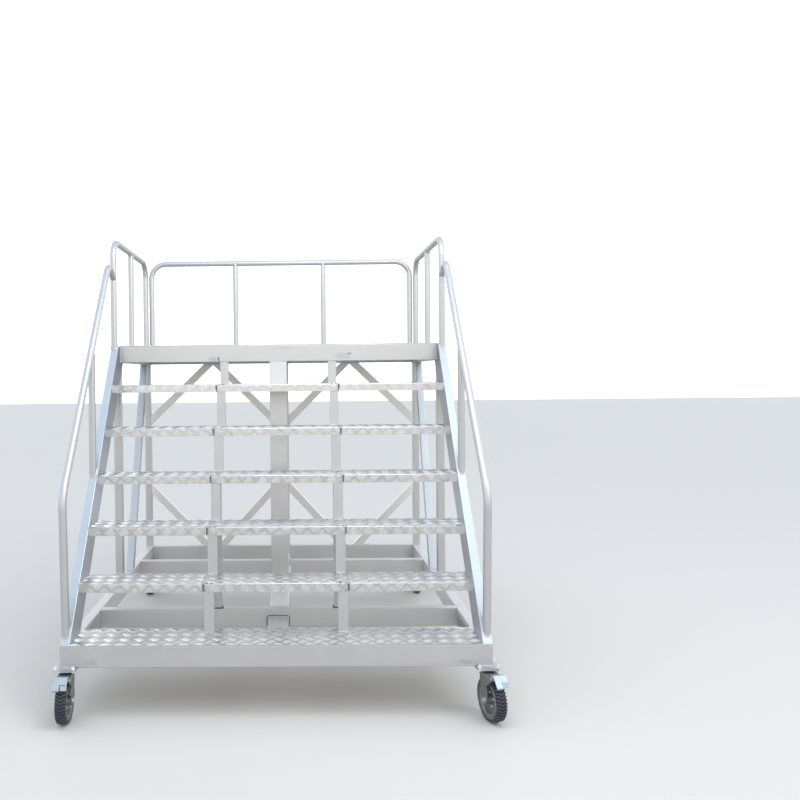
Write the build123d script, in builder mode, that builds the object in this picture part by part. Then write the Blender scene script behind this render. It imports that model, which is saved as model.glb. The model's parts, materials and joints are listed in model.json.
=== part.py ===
"""Mobile access stairs on four braked swivel casters: a welded aluminium frame, six steps and a railed platform.

+X is to the right of someone facing the stairs, +Y points from the bottom step to the back, +Z is up.
The origin is on the floor below the middle of the whole machine. Every length is in millimetres.
"""

import os
from collections import namedtuple
from math import atan2, copysign, degrees, hypot, radians, sin

from build123d import *

# ---- driving dimensions ------------------------------------------------------------------------------------
front_y = -1028.0          # front face of the base
base_width = 2000.0
base_length = 2153.0
beam_height, beam_width = 100.0, 50.0
edge_radius = 4.0          # rounded edges of the drawn tubes
bar_radius = 2.0           # rounded edges of the flat and small bars
plate = 3.0                # chequer plate, folded into treads and deck

rise, going = 238.0, 183.0
tread_count = 6
first_nosing = -7.0        # nosing of the bottom tread before the base's face, carried up the stairs
tread_depth = 200.0
foot_tread_depth = 239.0   # the bottom tread starts at the base's face
head_tread_depth = 245.0   # the top tread runs in under the platform's front beam
lip_height, rear_lip_height = 42.0, 28.0
fold_radius = 4.5
seam_x = 352.0             # seams between a tread's three sections
seam_gap = 2.0

stringer_width, stringer_depth = 45.0, 150.0
platform_front = 1132.0    # from the base's front face
column_width = 104.0
brace = 50.0
strut_width, strut_depth, strut_x = 50.0, 25.0, 325.0

rail_diameter = 38.0
rail_x = 982.0             # side guards and handrails
rail_bend = 105.0

# casters
wheel_radius, wheel_width = 100.0, 50.0
rim_radius, rim_half = 72.0, 20.0
caster_height = 235.0      # floor to the top of the caster's own plate
corner_plate = 6.0         # welded under each corner of the base
plate_size = 106.0
trail = 50.0
hub_half = 31.0
fork_gap, fork_sheet = 64.0, 5.0
axle_radius, kingpin_radius = 7.5, 9.0
running_clearance = 0.05

Caster = namedtuple("Caster", "name side end heading")
casters = [
    Caster("front_left", -1, 0, 3.5),
    Caster("front_right", 1, 0, 15.0),
    Caster("rear_left", -1, 1, 7.0),
    Caster("rear_right", 1, 1, -6.0),
]

# ---- derived sizes -----------------------------------------------------------------------------------------
base_bottom = caster_height + corner_plate
base_top = base_bottom + beam_height
step_top = base_top + plate
platform_top = step_top + tread_count * rise
frame_top = platform_top - plate
frame_bottom = frame_top - beam_height
slope = rise / going
slope_angle = degrees(atan2(rise, going))
half_base = base_width / 2
half_inside = half_base - stringer_width
outer_x = (half_base + half_inside) / 2
stringer_run = stringer_depth / sin(radians(slope_angle))
rear_face = front_y + base_length
rear_beam_front = rear_face - beam_width
rail_radius = rail_diameter / 2
guard_top = platform_top + 629.0
long_edge = 170.0          # every member is longer than this, and no tube's width is


def nosing(step):
    """Front of a tread and its top: (y, z); step 0 is the bottom tread."""
    return front_y + first_nosing + step * going, step_top + step * rise


def stringer_face_z(y):
    """Height of the stringers' sloping front face."""
    return base_top + slope * (y - front_y)


def stringer_back_z(y):
    """Height of the stringers' sloping back face."""
    return base_top + slope * (y - front_y - stringer_run)


def box_between(x, y, z, mode=Mode.ADD):
    """A box from its three (low, high) ranges."""
    with Locations(((x[0] + x[1]) / 2, (y[0] + y[1]) / 2, (z[0] + z[1]) / 2)):
        Box(x[1] - x[0], y[1] - y[0], z[1] - z[0], mode=mode)


def side_panel(outline, x_low, x_high):
    """A side view outline of (y, z) points, given thickness from x_low to x_high."""
    with BuildSketch(Plane.YZ.offset(x_low)) as panel:
        with BuildLine():
            Polyline(*outline, close=True)
        make_face()
    extrude(panel.sketch, amount=x_high - x_low)


def front_panel(outline, y_low, y_high):
    """A front view outline of (x, z) points, given thickness from y_low to y_high."""
    with BuildSketch(Plane.XZ.offset(-y_low)) as panel:
        with BuildLine():
            Polyline(*outline, close=True)
        make_face()
    extrude(panel.sketch, amount=-(y_high - y_low))


def round_long_edges(member, radius):
    """Rounds the edges that run along a member."""
    fillet(member.edges().filter_by(lambda edge: edge.length > long_edge), radius)


def bent_tube(points, bend, diameter=rail_diameter):
    """A round tube along straight runs that are joined by bends."""
    with BuildLine() as route:
        FilletPolyline(*points, radius=bend)
    centre_line = route.line
    with BuildSketch(Plane(origin=centre_line @ 0, z_dir=centre_line % 0)) as section:
        Circle(diameter / 2)
    sweep(section.sketch, path=centre_line)


def upright(x, y, low_z, high_z):
    """A plain vertical tube, a hair thinner than the rail it is coped to."""
    with BuildSketch(Plane.XY.offset(low_z)) as section:
        with Locations((x, y)):
            Circle(rail_radius - 0.1)
    extrude(section.sketch, amount=high_z - low_z)


# ---- base --------------------------------------------------------------------------------------------------
middle_beam_y = front_y + 566.0
third_beam_y = front_y + 1644.0
centre_beam_height = 43.0
notch_width, notch_height = 120.0, 62.0

with BuildPart() as front_beam:
    box_between((-half_base, half_base), (front_y, front_y + beam_width), (base_bottom, base_top))
    fillet(front_beam.edges().filter_by(Axis.X), edge_radius)

with BuildPart() as rear_beam:
    box_between((-half_base, half_base), (rear_beam_front, rear_face), (base_bottom, base_top))
    fillet(rear_beam.edges().filter_by(Axis.X), edge_radius)

with BuildPart() as side_beams:
    for side in (-1, 1):
        inner, outer = sorted((side * (half_base - beam_width), side * half_base))
        box_between((inner, outer), (front_y + beam_width, rear_beam_front), (base_bottom, base_top))
    fillet(side_beams.edges().filter_by(Axis.Y), edge_radius)

with BuildPart() as cross_beams:
    for y in (middle_beam_y, third_beam_y):
        half = half_base - beam_width
        box_between((-half, half), (y, y + beam_width), (base_bottom, base_top))
    fillet(cross_beams.edges().filter_by(Axis.X), edge_radius)
    # rounded notches that let the centre beam through
    with BuildSketch(Plane.XZ.offset(-middle_beam_y)):
        with Locations((0, base_bottom)):
            RectangleRounded(notch_width, 2 * notch_height, 10)
    extrude(amount=-(third_beam_y - middle_beam_y + beam_width), mode=Mode.SUBTRACT)

with BuildPart() as centre_beam:
    half = column_width / 2
    box_between((-half, half), (front_y + beam_width, rear_beam_front),
                (base_bottom, base_bottom + centre_beam_height))
    fillet(centre_beam.edges().filter_by(Axis.Y), edge_radius)

# ---- stair -------------------------------------------------------------------------------------------------
stringer_top_y = front_y + (frame_top - base_top) / slope

with BuildPart() as stringers:
    for side in (-1, 1):
        inner, outer = sorted((side * half_inside, side * half_base))
        side_panel([(front_y, base_top), (front_y + stringer_run, base_top),
                    (stringer_top_y + stringer_run, frame_top), (stringer_top_y, frame_top)], inner, outer)
    round_long_edges(stringers, edge_radius)


cleat = 42.0               # square cleats on the stringers' inner faces
rib = 7.0                  # flat ribs under the seams


def folded_plate(x, lip_x, y, z, depth):
    """Chequer plate over the range x; over the range lip_x it is folded down at the front and the back."""
    lips = [(y + depth - plate, y + depth - fold_radius, rear_lip_height)]
    if z > step_top:
        lips.append((y, y + fold_radius, lip_height))
    box_between(x, (y, y + depth), (z - plate, z))
    for lip_y, bend_y, height in lips:
        box_between(lip_x, (lip_y, lip_y + plate), (z - height, z))
        corner_y = y if lip_y == y else y + depth
        with BuildSketch(Plane.YZ.offset(lip_x[0])) as waste:
            with Locations(((corner_y + bend_y) / 2, z - fold_radius / 2)):
                Rectangle(fold_radius, fold_radius)
            with Locations((bend_y, z - fold_radius)):
                Circle(fold_radius, mode=Mode.SUBTRACT)
        extrude(waste.sketch, amount=lip_x[1] - lip_x[0], mode=Mode.SUBTRACT)


with BuildPart() as foot_tread:
    lip_end = half_base - beam_width
    folded_plate((-half_inside, half_inside), (-lip_end, lip_end), front_y, step_top, foot_tread_depth)

with BuildPart() as treads:
    for step in range(1, tread_count):
        y, z = nosing(step)
        depth = head_tread_depth if step == tread_count - 1 else tread_depth
        folded_plate((-seam_x, seam_x), (-seam_x + 4, seam_x - 4), y, z, depth)
        for side in (-1, 1):
            start, stop = side * (seam_x + seam_gap), side * half_inside
            lip_start, lip_stop = start + side * 5, stop - side * cleat
            folded_plate(sorted((start, stop)), sorted((lip_start, lip_stop)), y, z, depth)
    # the top tread is cut out around the front column
    half = column_width / 2 + 1
    box_between((-half, half), (front_y + platform_front - 1, y + depth + 1), (z - 50, z + 1),
                mode=Mode.SUBTRACT)

with BuildPart() as tread_cleats:
    for step in range(1, tread_count):
        y, z = nosing(step)
        for side in (-1, 1):
            low, high = sorted((side * (half_inside - cleat), side * half_inside))
            box_between((low, high), (y + 1, y + tread_depth - plate), (z - lip_height, z - plate))

with BuildPart() as seam_ribs:
    for step in range(1, tread_count):
        y, z = nosing(step)
        for side in (-1, 1):
            low, high = sorted((side * (strut_x + strut_width / 2), side * (strut_x + strut_width / 2 + rib)))
            box_between((low, high), (y + 1, y + tread_depth - plate), (z - lip_height, z - plate))

with BuildPart() as tread_struts:
    for step in range(1, tread_count + 1):
        low_z = step_top + (step - 1) * rise
        if step < tread_count:
            y, top_z = nosing(step)[0] + plate, nosing(step)[1] - plate
        else:
            y, top_z = front_y + platform_front, frame_bottom
        for side in (-1, 1):
            box_between((side * strut_x - strut_width / 2, side * strut_x + strut_width / 2),
                        (y, y + strut_depth), (low_z, top_z))
    fillet(tread_struts.edges().filter_by(Axis.Z), bar_radius)

with BuildPart() as middle_struts:
    tread_z = nosing(3)[1]
    for side in (-1, 1):
        box_between((side * strut_x - strut_width / 2, side * strut_x + strut_width / 2),
                    (middle_beam_y + 8, middle_beam_y + beam_width), (base_top, tread_z - plate))
    fillet(middle_struts.edges().filter_by(Axis.Z), bar_radius)

# ---- platform ----------------------------------------------------------------------------------------------
platform_y = front_y + platform_front
joist = 50.0
joist_count = 3
rear_guard_y = front_y + 2124.0

with BuildPart() as platform_front_beam:
    box_between((-half_inside, half_inside), (platform_y, platform_y + beam_width), (frame_bottom, frame_top))
    fillet(platform_front_beam.edges().filter_by(Axis.X), edge_radius)

with BuildPart() as platform_rear_beam:
    box_between((-half_inside, half_inside), (rear_beam_front, rear_face), (frame_bottom, frame_top))
    fillet(platform_rear_beam.edges().filter_by(Axis.X), edge_radius)

with BuildPart() as platform_side_beams:
    for side in (-1, 1):
        inner, outer = sorted((side * half_inside, side * half_base))
        foot_y = front_y + stringer_run + (frame_bottom - base_top) / slope
        head_y = front_y + stringer_run + (frame_top - base_top) / slope
        side_panel([(foot_y, frame_bottom), (rear_face, frame_bottom),
                    (rear_face, frame_top), (head_y, frame_top)], inner, outer)
    fillet(platform_side_beams.edges().filter_by(Axis.Y), edge_radius)

with BuildPart() as deck_joists:
    bay = (rear_beam_front - platform_y - beam_width) / (joist_count + 1)
    for i in range(joist_count):
        y = platform_y + beam_width + (i + 1) * bay
        box_between((-half_inside, half_inside), (y - joist / 2, y + joist / 2), (frame_top - joist, frame_top))
    fillet(deck_joists.edges().filter_by(Axis.X), bar_radius)

with BuildPart() as deck_plate:
    box_between((-half_inside, half_inside), (platform_y, rear_guard_y - rail_radius - 1),
                (frame_top, platform_top))

# ---- uprights and braces -----------------------------------------------------------------------------------
with BuildPart() as columns:
    half = column_width / 2
    box_between((-half, half), (platform_y, platform_y + beam_width),
                (base_bottom + centre_beam_height, frame_bottom))
    box_between((-half, half), (rear_beam_front, rear_face), (base_top, frame_bottom))
    fillet(columns.edges().filter_by(Axis.Z), edge_radius)

with BuildPart() as rear_posts:
    for side in (-1, 1):
        inner, outer = sorted((side * half_inside, side * half_base))
        box_between((inner, outer), (rear_beam_front, rear_face), (base_top, frame_bottom))
    fillet(rear_posts.edges().filter_by(Axis.Z), edge_radius)

with BuildPart() as side_posts:
    for side in (-1, 1):
        inner, outer = sorted((side * half_inside, side * half_base))
        back_y = platform_y + beam_width
        side_panel([(platform_y, base_top), (back_y, base_top), (back_y, stringer_back_z(back_y)),
                    (platform_y, stringer_back_z(platform_y))], inner, outer)
    fillet(side_posts.edges().filter_by(Axis.Z), edge_radius)

# flat braces in the plane of the rear frame, in each half bay between the column and the outer post
brace_y = (rear_beam_front + rear_face) / 2
apex_x = 490.0
upper_inner_spread, upper_outer_spread = 21.5, 37.0
upper_inner_z, upper_outer_z = 1253.5, 1262.0
lower_inner_spread, lower_outer_spread = 47.0, 53.0
lower_inner_z, lower_outer_z = 769.0, 762.0
mitre_x, mitre_gap, mitre_depth = 497.0, 2.0, 14.0


def brace_panel(side, post_x, post_z, beam_x, beam_z):
    """A brace from a post's upright face to a beam's level face, both ends cut flush."""
    run, lift = beam_x - post_x, beam_z - post_z
    half_z = brace / 2 * hypot(run, lift) / abs(run)
    half_x = brace / 2 * hypot(run, lift) / abs(lift) * copysign(1, run * lift)
    front_panel([(side * post_x, post_z - half_z), (side * post_x, post_z + half_z),
                 (side * (beam_x - half_x), beam_z), (side * (beam_x + half_x), beam_z)],
                brace_y - brace / 2, brace_y + brace / 2)


with BuildPart() as upper_braces:
    for side in (-1, 1):
        brace_panel(side, column_width / 2, upper_inner_z, apex_x - upper_inner_spread, frame_bottom)
        brace_panel(side, half_inside, upper_outer_z, apex_x + upper_outer_spread, frame_bottom)
        with Locations((side * mitre_x, brace_y, frame_bottom)):
            Box(mitre_gap, brace, 2 * mitre_depth, mode=Mode.SUBTRACT)
    round_long_edges(upper_braces, bar_radius)

with BuildPart() as lower_braces:
    for side in (-1, 1):
        brace_panel(side, column_width / 2, lower_inner_z, apex_x - lower_inner_spread, base_top)
        brace_panel(side, half_inside, lower_outer_z, apex_x + lower_outer_spread, base_top)
    round_long_edges(lower_braces, bar_radius)

diagonal_foot_y, diagonal_head_y = front_y + 1447.0, front_y + 1990.0
with BuildPart() as side_diagonals:
    lean = atan2(frame_bottom - base_top, diagonal_head_y - diagonal_foot_y)
    half_y = brace / 2 / sin(lean)
    for side in (-1, 1):
        low, high = sorted((side * half_inside, side * half_base))
        side_panel([(diagonal_foot_y - half_y, base_top), (diagonal_foot_y + half_y, base_top),
                    (diagonal_head_y + half_y, frame_bottom), (diagonal_head_y - half_y, frame_bottom)], low, high)
    round_long_edges(side_diagonals, bar_radius)

# ---- guards and handrails ----------------------------------------------------------------------------------
guard_front_y, guard_rear_y = front_y + 1098.0, front_y + 2106.0
rear_guard_x = 940.0
rear_baluster_places = (-327.0, 312.0)
handrail_foot_y, handrail_mid_y = front_y + 41.0, front_y + 568.0
handrail_lean = 8.0        # outwards, from foot to bend
handrail_bend_z = 1028.0
handrail_head = (front_y + 975.0, 2243.0)
handrail_end_z = 2172.0

with BuildPart() as rear_guard:
    bent_tube([(-rear_guard_x, rear_guard_y, frame_top), (-rear_guard_x, rear_guard_y, guard_top),
               (rear_guard_x, rear_guard_y, guard_top), (rear_guard_x, rear_guard_y, frame_top)], rail_bend)

with BuildPart() as rear_balusters:
    for x in rear_baluster_places:
        upright(x, rear_guard_y, frame_top, guard_top)
    add(rear_guard.part, mode=Mode.SUBTRACT)

with BuildPart() as side_guards:
    for side in (-1, 1):
        x = side * rail_x
        foot_z = stringer_face_z(guard_front_y) - 2 * rail_radius
        bent_tube([(x, guard_front_y, foot_z), (x, guard_front_y, guard_top),
                   (x, guard_rear_y, guard_top), (x, guard_rear_y, frame_top)], rail_bend)
    add(stringers.part, mode=Mode.SUBTRACT)

with BuildPart() as side_balusters:
    for side in (-1, 1):
        upright(side * rail_x, (guard_front_y + guard_rear_y) / 2, frame_top, guard_top)
    add(side_guards.part, mode=Mode.SUBTRACT)

with BuildPart() as handrails:
    for side in (-1, 1):
        x = side * rail_x
        foot_z = stringer_face_z(handrail_foot_y) - 2 * rail_radius
        bend = (x + side * handrail_lean, handrail_foot_y, handrail_bend_z)
        bent_tube([(x, handrail_foot_y, foot_z), bend, (x, *handrail_head),
                   (x, guard_front_y, handrail_end_z)], [180.0, 65.0])
    add(stringers.part, mode=Mode.SUBTRACT)
    add(side_guards.part, mode=Mode.SUBTRACT)

with BuildPart() as handrail_posts:
    for side in (-1, 1):
        upright(side * rail_x, handrail_mid_y, stringer_face_z(handrail_mid_y) - 2 * rail_radius,
                handrail_bend_z + slope * (handrail_mid_y - handrail_foot_y))
    add(stringers.part, mode=Mode.SUBTRACT)
    add(handrails.part, mode=Mode.SUBTRACT)

# ---- casters -----------------------------------------------------------------------------------------------
# Each caster is drawn with its swivel axis on the Z axis and its wheel trailing towards -Y.
head_top = 218.0
top_plate = 6.0
race_radius, race_low = 31.0, 219.0
kingpin_low = 203.0
crown_sheet, crown_radius = 7.0, 37.0
crown_end, ear_end = 71.0, 118.0      # trail at which the crown and the pedal's ears end
boss_radius = 21.0
pin_trail, pin_z, pin_radius = 108.0, 212.0, 4.0
pedal_width = 63.0


def caster_place(caster):
    """Centre of a caster's plate, under the middle of the corner joint of the base."""
    y = front_y + beam_width / 2 + caster.end * (base_length - beam_width)
    return caster.side * (half_base - beam_width / 2), y


with BuildPart() as corner_plates:
    for caster in casters:
        with Locations((*caster_place(caster), base_bottom - corner_plate / 2)):
            Box(plate_size, plate_size, corner_plate)
    fillet(corner_plates.edges().filter_by(Axis.Z), 6)

with BuildPart() as caster_plate:
    with Locations((0, 0, caster_height - top_plate / 2)):
        Box(plate_size, plate_size, top_plate)
    fillet(caster_plate.edges().filter_by(Axis.Z), 10)
    with BuildSketch(Plane.XY.offset(race_low)):
        Circle(race_radius)
    extrude(amount=caster_height - top_plate - race_low)
    with BuildSketch(Plane.XY.offset(kingpin_low)):
        Circle(kingpin_radius)
    extrude(amount=race_low - kingpin_low)
    with BuildSketch(Plane.XY.offset(kingpin_low)):
        RegularPolygon(14, 6)
    extrude(amount=7)

with BuildPart() as fork:
    # sheet folded over the wheel, trimmed to the legs' side outline, with ears for the pedal's pin
    outer, back = fork_gap / 2 + fork_sheet, crown_end + 60
    with BuildSketch(Plane.XZ):
        with Locations((0, head_top / 2)):
            Rectangle(2 * outer, head_top)
    extrude(amount=back)
    fillet(fork.edges().filter_by(Axis.Y).group_by(Axis.Z)[-1], 12)
    with BuildSketch(Plane.XZ):
        with BuildLine():
            half, roof = fork_gap / 2, head_top - crown_sheet
            FilletPolyline((-half, 0), (-half, roof), (half, roof), (half, 0), radius=3)
            Line((half, 0), (-half, 0))
        make_face()
    extrude(amount=back, mode=Mode.SUBTRACT)
    with BuildSketch(Plane.YZ.offset(-outer)):
        with BuildLine():
            Polyline((-2, head_top), (-12, 150), (boss_radius * 0.95 - trail, wheel_radius - 6),
                     (-trail, wheel_radius), (-trail - boss_radius, wheel_radius),
                     (-trail - boss_radius, 137), (-62, 165), (-ear_end + 6, 204), (-ear_end, head_top - 5),
                     (-ear_end + 5, head_top), close=True)
        make_face()
        with Locations((-trail, wheel_radius)):
            Circle(boss_radius)
    extrude(amount=2 * outer, mode=Mode.INTERSECT)
    box_between((-half, half), (-ear_end, -crown_end), (roof - 10, head_top + 1), mode=Mode.SUBTRACT)
    # round crown under the ball race
    with BuildSketch(Plane.XY.offset(head_top)):
        Circle(crown_radius)
    extrude(amount=-crown_sheet)
    with BuildSketch(Plane.XY.offset(head_top)):
        Circle(kingpin_radius + running_clearance)
    extrude(amount=-crown_sheet, mode=Mode.SUBTRACT)
    for y, z, radius in ((-trail, wheel_radius, axle_radius), (-pin_trail, pin_z, pin_radius)):
        with BuildSketch(Plane.YZ.offset(-outer)):
            with Locations((y, z)):
                Circle(radius)
        extrude(amount=2 * outer, mode=Mode.SUBTRACT)

with BuildPart() as pedal:
    # pressed sheet: brake shoe, top and foot plate, which parts into a locking and a releasing tongue
    half, thick = pedal_width / 2, 3.0
    tongues = [
        # (points of the side view, from x, to x)
        ([(-82, 205), (-92, 225), (-120, 232), (-139, 209)], -half, half),
        ([(-137.7, 210.6), (-157, 187.5), (-150, 181)], -half, -1.5),
        ([(-137.7, 210.6), (-142.5, 204.8), (-149, 184)], 1.5, half),
    ]
    for points, x_low, x_high in tongues:
        with BuildSketch(Plane.YZ.offset(x_low)):
            with BuildLine():
                FilletPolyline(*points, radius=4)
            trace(line_width=thick)
        extrude(amount=x_high - x_low)
    box_between((5, half - 5), (-145, -136), (205.5, 208), mode=Mode.SUBTRACT)
    # side flanges on the pin, inside the fork's ears
    for x_low in (-half, half - thick):
        side_panel([(-91, 225), (-120, 232), (-130, 219), (-114, 204), (-98, 204)], x_low, x_low + thick)
    outer = fork_gap / 2 + fork_sheet
    for x_low, x_high, radius in ((-outer - 3, -outer, pin_radius + 2.5), (-outer, outer, pin_radius),
                                  (outer, outer + 3, pin_radius + 2.5)):
        with BuildSketch(Plane.YZ.offset(x_low)):
            with Locations((-pin_trail, pin_z)):
                Circle(radius)
        extrude(amount=x_high - x_low)

with BuildPart() as axle:
    head = fork_gap / 2 + fork_sheet
    with BuildSketch(Plane.YZ.offset(-head)):
        with Locations((-trail, wheel_radius)):
            Circle(axle_radius)
    extrude(amount=2 * head)
    for x_start, thickness in ((-head - 8, 8), (head, 8)):
        with BuildSketch(Plane.YZ.offset(x_start)):
            with Locations((-trail, wheel_radius)):
                RegularPolygon(12, 6)
        extrude(amount=thickness)

with BuildPart() as rim:
    with BuildSketch(Plane.XY) as rim_profile:
        with BuildLine():
            bore, hub, web = axle_radius + running_clearance, 20.0, 7.0
            Polyline((hub_half, bore), (hub_half, hub), (web, hub + 2), (web, rim_radius - 12),
                     (rim_half, rim_radius - 6), (rim_half, rim_radius), (-rim_half, rim_radius),
                     (-rim_half, rim_radius - 6),
                     (-web, rim_radius - 12), (-web, hub + 2), (-hub_half, hub), (-hub_half, bore), close=True)
        make_face()
    revolve(axis=Axis.X)

with BuildPart() as tyre:
    with BuildSketch(Plane.XY) as tyre_profile:
        with BuildLine():
            half = wheel_width / 2
            lines = Polyline((rim_half, rim_radius), (half, rim_radius + 6), (half, wheel_radius - 12),
                             (half - 10, wheel_radius), (-half + 10, wheel_radius), (-half, wheel_radius - 12),
                             (-half, rim_radius + 6), (-rim_half, rim_radius), close=True)
        make_face()
        fillet(tyre_profile.vertices().group_by(Axis.Y)[-2], 8)
    revolve(axis=Axis.X)

# ---- hand over ---------------------------------------------------------------------------------------------
frame_pieces = {
    "front_beam": front_beam, "rear_beam": rear_beam, "side_beams": side_beams, "cross_beams": cross_beams,
    "centre_beam": centre_beam, "corner_plates": corner_plates, "stringers": stringers,
    "foot_tread": foot_tread, "treads": treads, "tread_cleats": tread_cleats, "seam_ribs": seam_ribs,
    "tread_struts": tread_struts, "middle_struts": middle_struts,
    "platform_front_beam": platform_front_beam, "platform_rear_beam": platform_rear_beam,
    "platform_side_beams": platform_side_beams, "deck_joists": deck_joists, "deck_plate": deck_plate,
    "columns": columns, "rear_posts": rear_posts, "side_posts": side_posts, "upper_braces": upper_braces,
    "lower_braces": lower_braces, "side_diagonals": side_diagonals, "rear_guard": rear_guard,
    "rear_balusters": rear_balusters, "side_guards": side_guards, "side_balusters": side_balusters,
    "handrails": handrails, "handrail_posts": handrail_posts,
}
wheel_place = Location((0, -trail, wheel_radius))

os.makedirs("parts", exist_ok=True)
for name, piece in frame_pieces.items():
    piece.part.label = name
    export_step(piece.part, f"parts/{name}.step")

for caster in casters:
    place = Location((*caster_place(caster), 0))
    turned = place * Location((0, 0, 0), (0, 0, caster.heading))
    for name, piece, where in (("caster_plate", caster_plate, place), ("fork", fork, turned),
                               ("pedal", pedal, turned), ("axle", axle, turned),
                               ("rim", rim, turned * wheel_place), ("tyre", tyre, turned * wheel_place)):
        placed = piece.part.moved(where)
        placed.label = f"{name}_{caster.name}"
        export_step(placed, f"parts/{placed.label}.step")
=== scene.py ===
import json
import math
import random

import bpy
from mathutils import Matrix, Vector


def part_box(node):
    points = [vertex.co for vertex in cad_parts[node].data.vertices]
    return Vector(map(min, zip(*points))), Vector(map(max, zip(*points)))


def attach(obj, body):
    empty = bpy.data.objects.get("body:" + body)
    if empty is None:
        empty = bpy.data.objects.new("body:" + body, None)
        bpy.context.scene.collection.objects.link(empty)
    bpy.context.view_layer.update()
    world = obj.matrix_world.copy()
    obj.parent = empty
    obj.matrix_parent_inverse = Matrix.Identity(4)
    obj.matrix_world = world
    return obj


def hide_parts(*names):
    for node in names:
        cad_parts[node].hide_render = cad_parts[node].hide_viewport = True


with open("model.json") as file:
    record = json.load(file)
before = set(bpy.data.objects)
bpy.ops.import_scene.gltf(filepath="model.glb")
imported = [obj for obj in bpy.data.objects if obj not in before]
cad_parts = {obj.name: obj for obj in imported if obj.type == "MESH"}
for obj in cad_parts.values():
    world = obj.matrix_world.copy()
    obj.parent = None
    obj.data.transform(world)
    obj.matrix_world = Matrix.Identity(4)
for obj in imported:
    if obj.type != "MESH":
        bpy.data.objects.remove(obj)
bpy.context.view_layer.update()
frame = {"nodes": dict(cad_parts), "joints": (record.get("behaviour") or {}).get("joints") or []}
mm = 0.001
nodes = frame["nodes"]
print("frame loaded:", len(nodes), "parts")


# shader node groups

def newGroup(name, inputs, outputs):
    group = bpy.data.node_groups.new(name, "ShaderNodeTree")
    for label, kind, value in inputs:
        socket = group.interface.new_socket(label, in_out="INPUT", socket_type="NodeSocket" + kind)
        if value is not None:
            socket.default_value = value
    for label, kind in outputs:
        group.interface.new_socket(label, in_out="OUTPUT", socket_type="NodeSocket" + kind)
    return group, group.nodes.new("NodeGroupInput"), group.nodes.new("NodeGroupOutput")


def addNode(tree, kind, values=None, **settings):
    node = tree.nodes.new(kind)
    for key, value in settings.items():
        setattr(node, key, value)
    for key, value in (values or {}).items():
        node.inputs[key].default_value = value
    return node


def mathNode(tree, operation, a, b=None, clamp=False):
    node = addNode(tree, "ShaderNodeMath", operation=operation, use_clamp=clamp)
    for socket, value in ((node.inputs[0], a), (node.inputs[1], b)):
        if value is None:
            continue
        if isinstance(value, (int, float)):
            socket.default_value = value
        else:
            tree.links.new(value, socket)
    return node.outputs[0]


def mixColour(tree, factor, a, b):
    node = addNode(tree, "ShaderNodeMix", data_type="RGBA")
    for socket, value in ((node.inputs["Factor"], factor), (node.inputs[6], a), (node.inputs[7], b)):
        if isinstance(value, (tuple, int, float)):
            socket.default_value = value
        else:
            tree.links.new(value, socket)
    return node.outputs[2]


drawnSizes = {"stretch": 0.012, "stainScale": 9.0, "stainFrom": 0.62, "stainGain": 1.6, "cloudRoughness": 1.2}


def buildDrawnMetal():
    # fine lines along x, soft clouds and a few stains
    tree, given, put = newGroup(
        "drawnMetal",
        [("Vector", "Vector", None), ("Colour", "Color", (0.6, 0.6, 0.6, 1)),
         ("Stain Colour", "Color", (0.3, 0.3, 0.3, 1)), ("Line Scale", "Float", 400.0),
         ("Cloud Scale", "Float", 5.0), ("Line Amount", "Float", 0.06), ("Cloud Amount", "Float", 0.1),
         ("Roughness", "Float", 0.4)],
        [("Colour", "Color"), ("Roughness", "Float"), ("Height", "Float")])
    link = tree.links.new
    stretch = addNode(tree, "ShaderNodeVectorMath", operation="MULTIPLY")
    stretch.inputs[1].default_value = (drawnSizes["stretch"], 1.0, 1.0)
    link(given.outputs["Vector"], stretch.inputs[0])
    lines = addNode(tree, "ShaderNodeTexNoise", {"Detail": 3.0, "Roughness": 0.6})
    link(stretch.outputs[0], lines.inputs["Vector"])
    link(given.outputs["Line Scale"], lines.inputs["Scale"])
    clouds = addNode(tree, "ShaderNodeTexNoise", {"Detail": 4.0, "Roughness": 0.55})
    link(given.outputs["Vector"], clouds.inputs["Vector"])
    link(given.outputs["Cloud Scale"], clouds.inputs["Scale"])
    lineShift = mathNode(tree, "MULTIPLY", mathNode(tree, "SUBTRACT", lines.outputs["Fac"], 0.5),
                         given.outputs["Line Amount"])
    cloudShift = mathNode(tree, "MULTIPLY", mathNode(tree, "SUBTRACT", clouds.outputs["Fac"], 0.5),
                          given.outputs["Cloud Amount"])
    brightness = mathNode(tree, "ADD", mathNode(tree, "ADD", lineShift, cloudShift), 1.0)
    scaled = addNode(tree, "ShaderNodeVectorMath", operation="SCALE")
    link(given.outputs["Colour"], scaled.inputs[0])
    link(brightness, scaled.inputs["Scale"])
    stains = addNode(tree, "ShaderNodeTexNoise", {"Detail": 6.0, "Roughness": 0.7})
    stains.inputs["Scale"].default_value = drawnSizes["stainScale"]
    link(given.outputs["Vector"], stains.inputs["Vector"])
    stainMask = mathNode(tree, "SUBTRACT", stains.outputs["Fac"], drawnSizes["stainFrom"], True)
    stainMask = mathNode(tree, "MULTIPLY", stainMask, drawnSizes["stainGain"], True)
    link(mixColour(tree, stainMask, scaled.outputs[0], given.outputs["Stain Colour"]), put.inputs["Colour"])
    rough = mathNode(tree, "MULTIPLY", cloudShift, drawnSizes["cloudRoughness"])
    rough = mathNode(tree, "ADD", given.outputs["Roughness"], rough)
    link(mathNode(tree, "ADD", rough, lineShift, True), put.inputs["Roughness"])
    link(lines.outputs["Fac"], put.inputs["Height"])
    return tree


sootAndShadeSizes = {"edge": 1.0, "core": 0.4, "speckLow": 0.36, "speckHigh": 0.58}


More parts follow.
